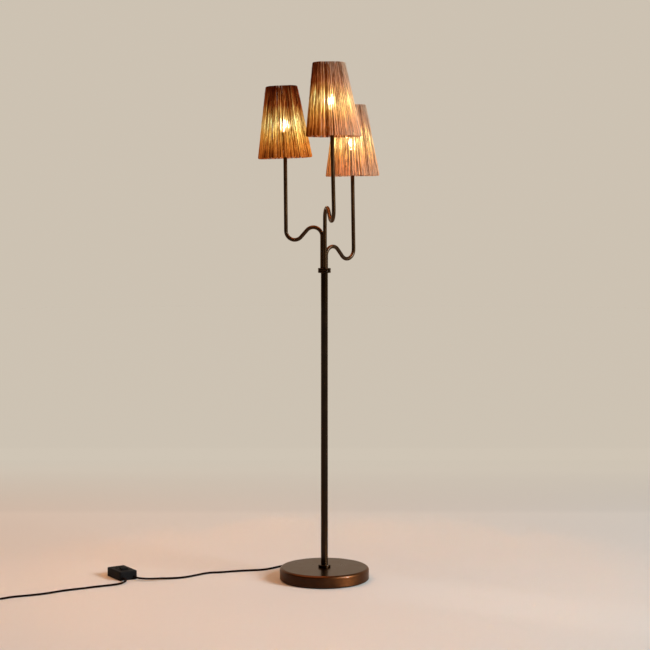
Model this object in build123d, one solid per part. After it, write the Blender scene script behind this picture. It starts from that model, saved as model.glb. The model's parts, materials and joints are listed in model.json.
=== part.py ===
from build123d import *
from collections import namedtuple
import math
import os

# Floor lamp: a weighted round base, a plain pole, and three bent tube arms that leave the
# pole's top as a tight bundle and each carry an upright lampholder in a wound string shade.
# Sizes are in millimetres and angles in degrees. The origin is the middle of the base on the
# floor, +Z is up, and the side that faces the room is -Y.

# Base
base_diameter = 280.0
base_top = 40.0
pad_thickness = 2.0
pad_inset = 9.0
cover_wall = 1.5
cover_edge_round = 8.0
cover_rolled_edge = 4.0
cover_lip = 2.0
plate_thickness = 1.5
plate_clearance = 0.4
weight_thickness = 18.0
weight_clearance = 2.7
weight_boss_diameter = 44.0
weight_edge_round = 1.0
nut_recess_diameter = 32.0
nut_recess_depth = 18.5
lead_groove_width = 14.0
lead_groove_depth = 12.5
nipple_diameter = 10.0
nipple_bore = 7.0
nut_across_flats = 17.0
nut_thickness = 6.0
washer_diameter = 28.0
washer_thickness = 2.0
thread_clearance = 0.05
bolt_clearance = 0.3

# Leads and their fittings in the base
cord_diameter = 6.5
cord_exit_angle = 120.0
cord_exit_height = 10.0
pole_lead_diameter = 5.0
pole_lead_height = 8.0
pole_lead_bend_radius = 7.0
arm_lead_diameter = 3.2
arm_lead_radius = 4.4
lead_clearance = 0.1
block_length = 16.0
block_width = 26.0
block_height = 12.0
block_from_edge = 74.0
block_well_diameter = 4.5
block_well_count = 3
clamp_length = 12.0
clamp_from_edge = 34.0
clamp_saddle_round = 2.0
bushing_flange_diameter = 15.0
bushing_flange_thickness = 2.0
bushing_neck_diameter = 9.8
bushing_nose_length = 20.0
bushing_nose_diameter = 11.0
bushing_tip_diameter = 8.2
bushing_hole_clearance = 0.1
joiner_diameter = 12.4
joiner_length = 22.0
joiner_drop = 50.0
joiner_round = 2.0

# Pole and its rings
pole_diameter = 22.0
pole_wall = 1.2
pole_length = 931.0
plug_length = 16.0
fit_clearance = 0.05
foot_ring_diameter = 38.5
foot_ring_height = 7.5
collar_diameter = 40.0
collar_ring_height = 7.5
hub_height = 7.5
hub_seat_thickness = 1.5
spigot_length = 20.0
spigot_bore = 13.0
ring_edge_round = 1.6
ring_slip = 0.1
grub_screw_diameter = 3.8
grub_screw_hole = 4.0

# Arms
arm_diameter = 12.0
arm_wall = 1.0
arm_gap = 0.6
stem_radius = 125.4
arm_bend_radius = 28.5
arm_drop = 39.5
arm_step = 60.0
lowest_arm_rise = 66.0
head_rise = 214.0
right_head_extra = 5.0
lean_bend_radius = 300.0
lean_start = 12.0
left_arm_angle = 163.0
arm_spacing_angle = 120.0
left_lean_angle = 0.45
right_lean_angle = 0.9
front_lean_angle = 1.3

# Lampholders, measured up from the shade's lower rim
holder_level = 25.0
holder_neck_diameter = 17.0
holder_neck_length = 7.0
holder_cap_diameter = 30.0
holder_cap_height = 18.0
holder_cap_wall = 1.2
holder_cap_round = 5.0
holder_diameter = 27.4
holder_wall = 2.0
holder_tuck = 4.0
holder_flange_diameter = 33.0
holder_flange_thickness = 3.0
holder_skirt_length = 34.0
core_thickness = 8.0
core_collar_diameter = 19.0
core_collar_height = 13.0
contact_diameter = 4.0
contact_height = 2.4
screw_shell_bore = 14.7
screw_shell_wall = 0.5
screw_shell_length = 22.0
shade_ring_diameter = 37.0
shade_ring_height = 7.0
shade_ring_round = 1.2

# Bulbs
contact_gap = 0.3
bulb_tip_diameter = 6.0
bulb_tip_height = 1.5
bulb_cone_height = 3.0
bulb_cap_diameter = 14.0
bulb_cap_height = 22.0
bulb_skirt_diameter = 16.4
bulb_skirt_height = 3.5
bulb_neck_diameter = 16.0
bulb_globe_diameter = 45.0
bulb_length = 78.0
bulb_throat_radius = 12.0
bulb_glass_wall = 1.0

# Shades
shade_height = 222.0
shade_rim_diameter = 169.0
shade_top_diameter = 99.0
string_thickness = 2.4
frame_wire_diameter = 3.0
strut_wire_diameter = 2.4
wire_seat_gap = 0.1
carrier_ring_diameter = 40.0
carrier_ring_thickness = 1.5
strut_count = 3
first_strut_angle = -120.0
left_rim_shift = -0.2
left_top_shift = -9.9
left_shade_tilt_angle = 1.9
right_rim_shift = 0.3
right_top_shift = -3.8
right_shade_tilt_angle = 0.2
front_rim_shift = 4.9
front_top_shift = -4.8
front_shade_tilt_angle = -1.3

# Foot dimmer on the cord
dimmer_x = -639.05
dimmer_y = 26.37
dimmer_angle = -57.0
dimmer_length = 94.0
dimmer_width = 60.0
dimmer_height = 28.0
dimmer_split = 15.5
dimmer_wall = 2.0
dimmer_corner_round = 5.0
dimmer_top_round = 3.5
dimmer_foot_round = 1.5
dimmer_exit_spacing = 40.0
dimmer_exit_height = 8.5
dimmer_guard_length = 5.0
dimmer_guard_diameter = 10.0
dimmer_guard_tip = 8.0
board_length = 72.0
board_width = 45.0
board_thickness = 1.6
board_post_diameter = 6.0
board_post_height = 4.0
slider_travel = 28.0
slider_rest = 12.0
slider_slot_width = 5.0
slider_stem_length = 9.0
slider_clearance = 0.35
slider_knob_length = 16.0
slider_knob_width = 23.0
slider_knob_height = 5.0
slider_knob_round = 2.0
slider_knob_edge_round = 1.0
slider_groove_count = 4
slider_groove_pitch = 3.0
slider_groove_width = 1.0
slider_groove_depth = 0.8
slider_foot_width = 14.0
slider_foot_thickness = 1.6
slider_rim_width = 3.0
slider_rim_height = 1.0

# Plug
plug_face_width = 35.3
plug_thickness = 13.7
plug_body_length = 36.0
plug_grip_length = 14.0
plug_grip_width = 22.0
plug_tip_width = 10.5
plug_tip_thickness = 9.5
plug_corner_round = 4.0
plug_guard_length = 20.0
plug_guard_tip = 8.0
pin_diameter = 4.0
pin_length = 19.0
pin_spacing = 18.6
pin_root = 8.0
pin_sleeve_diameter = 3.5
pin_sleeve_length = 10.0
pin_seat_clearance = 0.05
pin_tip_round = 1.2

# Coil of the cord's put-away length: half turns that draw in, climb and open out again
coil_x = -1036.0
coil_y = -262.0
coil_start_angle = -58.0
coil_inner_radius = 28.0
coil_pitch = 7.0
coil_lower_half_turns = 6
coil_upper_half_turns = 5
coil_lead_length = 6.5

half_turn_angle = 180.0
quarter_turn_angle = 90.0
overrun = 5.0

# Places along the cord, chosen by hand; the first and last of each stretch are worked out
# from what it meets
lamp_cord_places = [
    (-116.0, 172.0, 7.0),
    (-143.0, 169.5, 4.2),
    (-164.0, 148.0, 3.3),
    (-195.0, 121.0, 3.3),
    (-238.0, 113.0, 3.3),
    (-285.0, 102.0, 3.3),
    (-330.0, 83.0, 3.3),
    (-372.0, 79.0, 3.3),
    (-408.0, 41.0, 3.3),
    (-443.0, 10.0, 3.3),
    (-482.0, -5.0, 4.2),
    (-514.0, -14.5, 5.9),
    (-540.0, -27.0, 7.4),
    (-560.0, -29.8, 8.3),
    (-575.5, -25.6, 8.5),
]
mains_cord_places = [
    (-617.45, -52.55, 8.0),
    (-619.95, -67.55, 6.9),
    (-628.95, -81.55, 5.6),
    (-646.45, -92.05, 4.3),
    (-678.0, -103.5, 3.3),
    (-713.0, -121.5, 3.3),
    (-748.0, -143.0, 3.3),
    (-794.0, -166.0, 3.3),
    (-837.0, -203.0, 3.3),
    (-886.0, -229.0, 3.3),
    (-932.0, -246.0, 3.3),
    (-964.0, -272.0, 3.3),
]
base_straight = 22.0
dimmer_straight = 13.0
coil_straight = 25.0
tail_straight = 14.0
plug_straight = 16.0
tail_cord_places = [
    (-1047.0, -322.4, 8.7),
    (-1069.5, -327.2, 6.0),
    (-1093.0, -323.0, 4.0),
    (-1113.0, -310.0, 3.4),
    (-1126.0, -292.0, 4.6),
]
plug_x = -1131.5
plug_y = -256.7
plug_angle = 90.0

base_radius = base_diameter / 2
block_place = base_radius - block_from_edge
clamp_place = base_radius - clamp_from_edge
arm_radius = arm_diameter / 2
cord_radius = cord_diameter / 2
weight_bottom = pad_thickness + plate_thickness
cover_inside_top = base_top - cover_wall
hub_bottom = base_top + pole_length
hub_top = hub_bottom + hub_height
hub_seat = hub_bottom + hub_seat_thickness
pole_bore = pole_diameter - 2 * pole_wall
joiner_top = hub_bottom - joiner_drop
arm_bore = arm_diameter - 2 * arm_wall
bundle_radius = (arm_diameter + arm_gap) / math.sqrt(3)
holder_cap_top = holder_level + holder_cap_height
holder_floor = holder_level + holder_neck_length
flange_top = holder_cap_top + holder_flange_thickness
holder_top = flange_top + holder_skirt_length
core_bottom = holder_cap_top - holder_tuck
core_top = core_bottom + core_thickness
bulb_tip = core_top + contact_height + contact_gap
bulb_top = bulb_tip + bulb_length
globe_level = bulb_top - bulb_globe_diameter / 2
shade_taper = (shade_rim_diameter - shade_top_diameter) / 2 / shade_height

Arm = namedtuple("Arm", "name angle hump rim lean rim_shift top_shift tilt")


def arm(name, angle, steps, lean, rim_shift, top_shift, tilt, extra=0):
    hump = hub_top + lowest_arm_rise + steps * arm_step
    return Arm(name, angle, hump, hump + head_rise + extra, lean, rim_shift, top_shift, tilt)


arms = [
    arm("left", left_arm_angle, 1, left_lean_angle,
        left_rim_shift, left_top_shift, left_shade_tilt_angle),
    arm("right", left_arm_angle - arm_spacing_angle, 0, right_lean_angle,
        right_rim_shift, right_top_shift, right_shade_tilt_angle, right_head_extra),
    arm("front", left_arm_angle + arm_spacing_angle, 2, front_lean_angle,
        front_rim_shift, front_top_shift, front_shade_tilt_angle),
]


standing = (Align.CENTER, Align.CENTER, Align.MIN)


def drum(radius, bottom, top):
    return Pos(0, 0, bottom) * Cylinder(radius, top - bottom, align=standing)


def slab(length, width, bottom, top, x=0):
    return Pos(x, 0, bottom) * Box(length, width, top - bottom, align=standing)


def ring(outer_radius, inner_radius, bottom, top, edge_round):
    """A collar turned about Z, with both of its outer edges rounded."""
    body = drum(outer_radius, bottom, top)
    body = fillet(body.edges().filter_by(GeomType.CIRCLE), edge_round)
    return body - drum(inner_radius, bottom - overrun, top + overrun)


def turned(outline):
    """The solid that a closed outline of (radius, height) sweeps about Z."""
    return revolve(Plane.XZ * make_face(outline), Axis.Z)


def flat_drum(radius, bottom, top, lower_round, upper_round):
    body = drum(radius, bottom, top)
    rims = body.edges().filter_by(GeomType.CIRCLE).sort_by(Axis.Z)
    body = fillet(rims[-1], upper_round)
    rims = body.edges().filter_by(GeomType.CIRCLE).sort_by(Axis.Z)
    return fillet(rims[0], lower_round)


def rod(start, end, radius):
    start, end = Vector(start), Vector(end)
    return Solid.make_cylinder(radius, (end - start).length, Plane(origin=start, z_dir=end - start))


def swept(section, path):
    """A section carried square along a path from the path's start."""
    return sweep(Plane(origin=path @ 0, z_dir=path % 0) * section, path=path)


# Base pieces: what the lead passes is laid out along +X and turned to the cord's side


def toward_exit(shape):
    return Rot(0, 0, cord_exit_angle) * shape


def base_cover():
    shell = flat_drum(base_radius, pad_thickness, base_top, cover_rolled_edge, cover_edge_round)
    hollow = flat_drum(
        base_radius - cover_wall, weight_bottom, cover_inside_top,
        cover_rolled_edge - cover_wall, cover_edge_round - cover_wall,
    )
    mouth = drum(base_radius - cover_rolled_edge - cover_lip, 0, cover_inside_top)
    bolt_hole = drum(nipple_diameter / 2 + bolt_clearance, 0, base_top + overrun)
    lead_hole = rod(
        (0, 0, cord_exit_height), (base_radius + overrun, 0, cord_exit_height),
        bushing_neck_diameter / 2 + bushing_hole_clearance,
    )
    return shell - hollow - mouth - bolt_hole - toward_exit(lead_hole)


def bottom_plate():
    radius = base_radius - cover_rolled_edge - cover_lip - plate_clearance
    return drum(radius, pad_thickness, weight_bottom)


def base_pad():
    return drum(base_radius - pad_inset, 0, pad_thickness)


def base_weight():
    """Cast disc with a boss up to the cover, a nut recess and a groove for the lead below."""
    radius = base_radius - cover_wall - weight_clearance
    top = weight_bottom + weight_thickness
    disc = flat_drum(radius, weight_bottom, top, weight_edge_round, weight_edge_round)
    boss = drum(weight_boss_diameter / 2, top, cover_inside_top)
    bolt_hole = drum(nipple_diameter / 2 + bolt_clearance, 0, base_top)
    recess = drum(nut_recess_diameter / 2, 0, weight_bottom + nut_recess_depth)
    groove = slab(base_radius, lead_groove_width, 0, weight_bottom + lead_groove_depth, base_radius / 2)
    pocket = slab(
        block_length + 2 * bolt_clearance, block_width + 2 * bolt_clearance,
        0, weight_bottom + block_height + bolt_clearance, block_place,
    )
    return disc + boss - bolt_hole - recess - toward_exit(groove + pocket)


def base_washer():
    top = weight_bottom + nut_recess_depth
    body = drum(washer_diameter / 2, top - washer_thickness, top)
    return body - drum(nipple_diameter / 2 + bolt_clearance, 0, base_top)


def base_nut():
    top = weight_bottom + nut_recess_depth - washer_thickness
    flats = RegularPolygon(nut_across_flats / 2, 6, major_radius=False)
    body = Pos(0, 0, top - nut_thickness) * extrude(flats, nut_thickness)
    return body - drum(nipple_diameter / 2 + thread_clearance, 0, base_top)


def base_nipple():
    bottom = weight_bottom + nut_recess_depth - washer_thickness - nut_thickness - thread_clearance
    top = base_top + plug_length - fit_clearance
    return drum(nipple_diameter / 2, bottom, top) - drum(nipple_bore / 2, 0, top + overrun)


def terminal_block():
    """Three-way block: a lead hole through each way and a screw well down into it."""
    body = slab(block_length, block_width, weight_bottom, weight_bottom + block_height, block_place)
    middle = weight_bottom + block_height / 2
    for way in range(block_well_count):
        y = block_width * ((way + 1 / 2) / block_well_count - 1 / 2)
        well = Pos(block_place, y, 0) * drum(block_well_diameter / 2, middle, base_top)
        body -= well
    return toward_exit(body)


def cord_clamp():
    body = slab(
        clamp_length, lead_groove_width - 2 * bolt_clearance,
        weight_bottom, weight_bottom + lead_groove_depth - bolt_clearance, clamp_place,
    )
    body = fillet(body.edges().filter_by(Axis.X).group_by(Axis.Z)[-1], clamp_saddle_round)
    passage = rod(
        (0, 0, cord_exit_height), (base_radius, 0, cord_exit_height), cord_radius + lead_clearance
    )
    return toward_exit(body - passage)


def cord_bushing():
    """Strain relief in the cover's side: a neck through the wall, a flange and a tapered nose."""
    wall_outside, wall_inside = base_radius, base_radius - cover_wall
    flange_end = wall_outside + bushing_flange_thickness
    nose_end = flange_end + bushing_nose_length
    bore = cord_radius + lead_clearance
    outline = Polyline(
        (bore, wall_inside), (bushing_neck_diameter / 2, wall_inside),
        (bushing_neck_diameter / 2, wall_outside), (bushing_flange_diameter / 2, wall_outside),
        (bushing_flange_diameter / 2, flange_end), (bushing_nose_diameter / 2, flange_end),
        (bushing_tip_diameter / 2, nose_end), (bore, nose_end), close=True,
    )
    upright = turned(outline)
    laid = Pos(0, 0, cord_exit_height) * Rot(0, quarter_turn_angle, 0) * upright
    return toward_exit(laid)


cord_exit_reach = base_radius + bushing_flange_thickness + bushing_nose_length


def base_lead():
    start = (block_place + block_length / 2, 0, cord_exit_height)
    return toward_exit(rod(start, (cord_exit_reach, 0, cord_exit_height), cord_radius))


def pole_lead():
    """Lead from the terminal block, round a bend under the nipple and up the pole."""
    start = (block_place - block_length / 2, 0, pole_lead_height)
    corner = (0, 0, pole_lead_height)
    path = FilletPolyline(
        start, corner, (0, 0, joiner_top - joiner_length), radius=[pole_lead_bend_radius]
    )
    return toward_exit(swept(Circle(pole_lead_diameter / 2), path))


# Pole pieces


def pole_foot_ring():
    return ring(
        foot_ring_diameter / 2, pole_diameter / 2 + ring_slip,
        base_top, base_top + foot_ring_height, ring_edge_round,
    )


def grub_screw_bore(radius):
    height = hub_bottom - collar_ring_height / 2
    return rod((0, 0, height), (0, collar_diameter, height), radius)


def pole_tube():
    tube = drum(pole_diameter / 2, base_top, hub_bottom)
    bore = drum(pole_bore / 2, 0, hub_bottom + overrun)
    return tube - bore - grub_screw_bore(grub_screw_hole / 2)


def pole_bottom_plug():
    body = drum(pole_bore / 2 - fit_clearance, base_top, base_top + plug_length)
    return body - drum(nipple_diameter / 2 + thread_clearance, 0, hub_bottom)


def pole_top_ring():
    body = ring(
        collar_diameter / 2, pole_diameter / 2 + ring_slip,
        hub_bottom - collar_ring_height, hub_bottom, ring_edge_round,
    )
    return body - grub_screw_bore(grub_screw_hole / 2)


def hub_screw():
    start = pole_bore / 2 - fit_clearance
    end = collar_diameter / 2 - ring_slip
    height = hub_bottom - collar_ring_height / 2
    return rod((0, start, height), (0, end, height), grub_screw_diameter / 2)


def arm_place(angle, radius, height):
    return Vector(
        radius * math.cos(math.radians(angle)), radius * math.sin(math.radians(angle)), height
    )


def arm_hub():
    """Disc with three blind seats for the arm tubes and a hollow spigot down into the pole."""
    body = flat_drum(collar_diameter / 2, hub_bottom, hub_top, ring_edge_round, ring_edge_round)
    body += drum(pole_bore / 2 - 2 * fit_clearance, hub_bottom - spigot_length, hub_bottom)
    body -= drum(spigot_bore / 2, 0, hub_seat)
    for each in arms:
        foot = arm_place(each.angle, bundle_radius, 0)
        body -= Pos(foot.X, foot.Y) * drum(arm_radius + fit_clearance, hub_seat, hub_top + overrun)
    return body


def wire_joiner():
    return flat_drum(
        joiner_diameter / 2, joiner_top - joiner_length, joiner_top, joiner_round, joiner_round
    )


# Arms


def lean_direction(each):
    return Vector(-math.sin(math.radians(each.lean)), 0, math.cos(math.radians(each.lean)))


def head_plane(each):
    """Plane of the shade's lower rim, square to the arm's upright stem and on its axis."""
    foot = arm_place(each.angle, stem_radius, each.hump - arm_drop + arm_bend_radius + lean_start)
    lean = lean_direction(each)
    origin = foot + lean * ((each.rim - foot.Z) / lean.Z)
    return Plane(origin=origin, x_dir=(lean.Z, 0, -lean.X), z_dir=lean)


def arm_path(each, inset, bottom, top):
    """Centre line of an arm's tube, or of a lead that lies `inset` nearer the pole.

    It runs up beside the pole's axis, over a hump, down a straight slope that is tangent to
    both bends, round a dip of the same radius and up the stem, which leans slightly.
    """
    span = stem_radius - bundle_radius - 2 * arm_bend_radius
    rise = 2 * arm_bend_radius - arm_drop
    centres = math.hypot(span, rise)
    straight = math.sqrt(centres ** 2 - (2 * arm_bend_radius) ** 2)
    fall = math.asin(2 * arm_bend_radius / centres) - math.atan2(rise, span)
    turn = quarter_turn_angle + math.degrees(fall)
    start = bundle_radius - inset
    upright = Line((start, bottom), (start, each.hump - arm_bend_radius))
    hump = JernArc(upright @ 1, upright % 1, arm_bend_radius + inset, -turn)
    slope = Line(hump @ 1, hump @ 1 + (hump % 1) * straight)
    dip = JernArc(slope @ 1, slope % 1, arm_bend_radius - inset, turn)
    radial = arm_place(each.angle, 1, 0)
    upright_plane = Plane(origin=(0, 0, 0), x_dir=radial, z_dir=(radial.Y, -radial.X, 0))
    bends = [upright_plane * part for part in (upright, hump, slope, dip)]
    foot = bends[-1] @ 1
    corner = foot + Vector(0, 0, lean_start)
    lean = lean_direction(each)
    end = corner + lean * ((each.rim - corner.Z) / lean.Z + top)
    stem = FilletPolyline(foot, corner, end, radius=[lean_bend_radius])
    return Wire([edge for part in bends for edge in part.edges()] + list(stem.edges()))


def arm_tube(each):
    path = arm_path(each, 0, hub_seat, holder_floor)
    return swept(Circle(arm_radius) - Circle(arm_bore / 2), path)


def arm_leads():
    leads = []
    for each in arms:
        inset = bundle_radius - arm_lead_radius
        path = arm_path(each, inset, joiner_top, core_bottom - lead_clearance)
        leads.append(swept(Circle(arm_lead_diameter / 2), path))
    return Compound(leads)


# Heads, built upright from the shade's lower rim


def holder_cap():
    """Cup with a neck below, which the arm's tube ends in."""
    radius = holder_cap_diameter / 2
    floor = holder_floor - holder_cap_wall
    cup = drum(radius, floor, holder_cap_top)
    cup = fillet(cup.edges().filter_by(GeomType.CIRCLE).sort_by(Axis.Z)[0], holder_cap_round)
    hollow = drum(radius - holder_cap_wall, holder_floor, holder_cap_top + overrun)
    lower_edge = hollow.edges().filter_by(GeomType.CIRCLE).sort_by(Axis.Z)[0]
    hollow = fillet(lower_edge, holder_cap_round - holder_cap_wall)
    neck = drum(holder_neck_diameter / 2, holder_level, holder_floor)
    return cup - hollow + neck - drum(arm_radius + fit_clearance, 0, holder_cap_top)


def holder_body():
    """Sleeve that sits in the cap, with the flange that the shade's ring rests on."""
    body = drum(holder_diameter / 2, core_bottom, holder_top)
    body += drum(holder_flange_diameter / 2, holder_cap_top, flange_top)
    return body - drum(holder_diameter / 2 - holder_wall, 0, holder_top + overrun)


def holder_core():
    """Insulating insert: a disc with a collar round the screw shell and the centre contact."""
    shell_radius = screw_shell_bore / 2 + screw_shell_wall + fit_clearance
    disc = drum(holder_diameter / 2 - holder_wall - fit_clearance, core_bottom, core_top)
    collar = drum(core_collar_diameter / 2, core_top, core_top + core_collar_height)
    collar -= drum(shell_radius, core_top, holder_top)
    return disc + collar + drum(contact_diameter / 2, core_top, core_top + contact_height)


def screw_shell():
    top = core_top + screw_shell_length
    body = drum(screw_shell_bore / 2 + screw_shell_wall, core_top, top)
    return body - drum(screw_shell_bore / 2, 0, top + overrun)


def shade_ring():
    """Nut on the holder's sleeve that clamps the shade's carrier ring."""
    bottom = flange_top + carrier_ring_thickness
    return ring(
        shade_ring_diameter / 2, holder_diameter / 2 + fit_clearance,
        bottom, bottom + shade_ring_height, shade_ring_round,
    )


def bulb_cap():
    """Screw cap: contact, insulating cone, threaded sleeve and the skirt at the glass."""
    cone_bottom = bulb_tip + bulb_tip_height
    sleeve_bottom = cone_bottom + bulb_cone_height
    sleeve_top = sleeve_bottom + bulb_cap_height - bulb_skirt_height - bulb_cone_height
    skirt_top = sleeve_top + bulb_skirt_height
    outline = Polyline(
        (0, bulb_tip), (bulb_tip_diameter / 2, bulb_tip), (bulb_tip_diameter / 2, cone_bottom),
        (bulb_cap_diameter / 2, sleeve_bottom), (bulb_cap_diameter / 2, sleeve_top),
        (bulb_skirt_diameter / 2, skirt_top), (0, skirt_top), close=True,
    )
    return turned(outline)


bulb_cap_top = bulb_tip + bulb_tip_height + bulb_cap_height


def glass_form(shrink):
    """Solid globe on a neck, joined by a hollow throat that is tangent to both."""
    neck = bulb_neck_diameter / 2 - shrink
    throat = bulb_throat_radius + shrink
    globe = bulb_globe_diameter / 2 - shrink
    across, reach = neck + throat, globe + throat
    throat_level = globe_level - math.sqrt(reach ** 2 - across ** 2)
    turn = math.degrees(math.acos(across / reach))
    share = globe / reach
    upright = Polyline((0, bulb_cap_top), (neck, bulb_cap_top), (neck, throat_level))
    hollow = CenterArc((across, throat_level), throat, half_turn_angle - turn, turn)
    meeting = (across * share, globe_level - (globe_level - throat_level) * share)
    bowl = ThreePointArc(meeting, (globe, globe_level), (0, globe_level + globe))
    axis = Line((0, globe_level + globe), (0, bulb_cap_top))
    return turned(upright + hollow + bowl + axis)


def bulb_glass():
    """Thin globe blown down to a neck, open where the cap closes it."""
    mouth_radius = bulb_neck_diameter / 2 - bulb_glass_wall
    mouth = drum(mouth_radius, bulb_cap_top - overrun, bulb_cap_top + overrun)
    return glass_form(0) - glass_form(bulb_glass_wall) - mouth


def rim_plane(each, level):
    """Plane of the shade at a level above its lower rim: the wound frame is a little askew."""
    share = level / shade_height
    shift = each.rim_shift + (each.top_shift - each.rim_shift) * share
    tilt = math.radians(each.tilt)
    normal = (-math.sin(tilt), 0, math.cos(tilt))
    return Plane(origin=(shift, 0, level), x_dir=(math.cos(tilt), 0, math.sin(tilt)), z_dir=normal)


def shade_radius(level):
    return shade_rim_diameter / 2 - shade_taper * level


def shade_form(each, bottom, top, inset):
    lower = rim_plane(each, bottom) * Circle(shade_radius(bottom) - inset)
    upper = rim_plane(each, top) * Circle(shade_radius(top) - inset)
    return loft([lower, upper], ruled=True)


def frame_ring_radius(level):
    return shade_radius(level) - string_thickness - frame_wire_diameter / 2 - wire_seat_gap


def shade_wrap(each):
    """Wall of wound string, whose turns over the frame's two rings are inward lips."""
    wall = string_thickness
    outside = shade_form(each, 0, shade_height, 0)
    inside = shade_form(each, wall, shade_height - wall, wall)
    body = outside - inside
    for level in (0, shade_height):
        hole_radius = frame_ring_radius(level) - frame_wire_diameter
        body -= rim_plane(each, level) * drum(hole_radius, -overrun, overrun)
    return body


def shade_frame(each):
    """Welded wire frame: two rings, struts between them and spokes to the carrier ring."""
    wire = frame_wire_diameter / 2
    lower_level = string_thickness + wire
    upper_level = shade_height - lower_level
    lower, upper = rim_plane(each, lower_level), rim_plane(each, upper_level)
    lower_radius = frame_ring_radius(lower_level + wire)
    upper_radius = frame_ring_radius(upper_level + wire)
    carrier_top = flange_top + carrier_ring_thickness
    frame = drum(carrier_ring_diameter / 2, flange_top, carrier_top)
    frame += Solid.make_torus(lower_radius, wire, lower)
    frame += Solid.make_torus(upper_radius, wire, upper)
    for strut in range(strut_count):
        angle = first_strut_angle + strut * 2 * half_turn_angle / strut_count
        foot = lower.from_local_coords(arm_place(angle, lower_radius, 0))
        head = upper.from_local_coords(arm_place(angle, upper_radius, 0))
        rooted = (carrier_ring_diameter + holder_diameter) / 4
        frame += rod(foot, head, strut_wire_diameter / 2)
        frame += rod(foot, arm_place(angle, rooted, (flange_top + carrier_top) / 2), wire)
    frame -= drum(holder_diameter / 2 + fit_clearance, 0, shade_height)
    frame -= drum(holder_flange_diameter / 2, flange_top - overrun, flange_top)
    return frame - drum(shade_ring_diameter / 2, carrier_top, carrier_top + overrun)


# Foot dimmer, laid out along +X towards the cords


def at_dimmer(shape):
    return Pos(dimmer_x, dimmer_y, 0) * Rot(0, 0, dimmer_angle) * shape


dimmer_way = arm_place(dimmer_angle, 1, 0)


def dimmer_exit(side):
    """Where the cord leaves the guard on one side of the dimmer's end."""
    sideways = arm_place(dimmer_angle + quarter_turn_angle, side * dimmer_exit_spacing / 2, 0)
    reach = dimmer_length / 2 + dimmer_guard_length
    return Vector(dimmer_x, dimmer_y, dimmer_exit_height) + dimmer_way * reach + sideways


def dimmer_block(inset, bottom, top):
    body = slab(dimmer_length - 2 * inset, dimmer_width - 2 * inset, bottom, top)
    return fillet(body.edges().filter_by(Axis.Z), dimmer_corner_round - inset)


def dimmer_guard(side):
    """Cord guard moulded on the lower shell: a short cone that the cord comes out of."""
    root_radius, tip_radius = dimmer_guard_diameter / 2, dimmer_guard_tip / 2
    guard = Cone(root_radius, tip_radius, dimmer_guard_length, align=standing)
    place = Pos(dimmer_length / 2, side * dimmer_exit_spacing / 2, dimmer_exit_height)
    return place * Rot(0, quarter_turn_angle, 0) * guard


def dimmer_base():
    """Lower shell: a tray with four posts for the board and both cord guards."""
    body = dimmer_block(0, 0, dimmer_split)
    body = fillet(body.edges().group_by(Axis.Z)[0], dimmer_foot_round)
    body -= dimmer_block(dimmer_wall, dimmer_wall, dimmer_split + overrun)
    post = drum(board_post_diameter / 2, dimmer_wall, dimmer_wall + board_post_height)
    post_places = GridLocations(
        board_length - board_post_diameter, board_width - board_post_diameter, 2, 2
    )
    for place in post_places:
        body += place * post
    return at_dimmer(body + dimmer_guard(1) + dimmer_guard(-1))


def dimmer_board():
    bottom = dimmer_wall + board_post_height
    return at_dimmer(slab(board_length, board_width, bottom, bottom + board_thickness))


def track_form(margin, corner_round, bottom, top):
    """Rounded block over the knob's travel, larger than the knob by `margin` all round."""
    length = slider_travel + slider_knob_length + 2 * margin
    body = slab(length, slider_knob_width + 2 * margin, bottom, top)
    return fillet(body.edges().filter_by(Axis.Z), corner_round + margin)


def dimmer_cover():
    """Upper shell with the slider's slot and a low rim round the knob's track."""
    body = dimmer_block(0, dimmer_split, dimmer_height)
    body = fillet(body.edges().group_by(Axis.Z)[-1], dimmer_top_round)
    body -= dimmer_block(dimmer_wall, 0, dimmer_height - dimmer_wall)
    rim_top = dimmer_height + slider_rim_height
    rim_margin = slider_clearance + slider_rim_width
    body += track_form(rim_margin, slider_knob_round, dimmer_height - dimmer_wall, rim_top)
    body -= track_form(slider_clearance, slider_knob_round, dimmer_height, rim_top + overrun)
    slot_length = slider_travel + slider_stem_length + 2 * slider_clearance
    return at_dimmer(body - slab(slot_length, slider_slot_width, dimmer_split, rim_top))


def dimmer_slider():
    """Knob on a stem through the slot, kept in by a foot plate under the cover."""
    knob_bottom = dimmer_height + slider_clearance
    knob_top = knob_bottom + slider_knob_height
    knob = slab(slider_knob_length, slider_knob_width, knob_bottom, knob_top)
    knob = fillet(knob.edges().filter_by(Axis.Z), slider_knob_round)
    knob = fillet(knob.edges().group_by(Axis.Z)[-1], slider_knob_edge_round)
    groove_floor = knob_top - slider_groove_depth
    groove = slab(slider_groove_width, slider_knob_width, groove_floor, knob_top + overrun)
    for place in GridLocations(slider_groove_pitch, 0, slider_groove_count, 1):
        knob -= place * groove
    foot_top = dimmer_height - dimmer_wall - slider_clearance
    foot_bottom = foot_top - slider_foot_thickness
    stem_width = slider_slot_width - 2 * slider_clearance
    stem = slab(slider_stem_length, stem_width, foot_top, knob_bottom)
    foot = slab(slider_knob_length, slider_foot_width, foot_bottom, foot_top)
    return at_dimmer(Pos(slider_rest, 0) * (knob + stem + foot))


# Plug, laid out along +X from the cord to the pins


def at_plug(shape):
    return Pos(plug_x, plug_y, plug_thickness / 2) * Rot(0, 0, plug_angle) * shape


def plug_section(place, width, thickness, corner_round):
    face = Plane(origin=(place, 0, 0), x_dir=(0, 1, 0), z_dir=(1, 0, 0))
    return face * RectangleRounded(width, thickness, corner_round)


plug_face = plug_guard_length + plug_body_length


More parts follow.
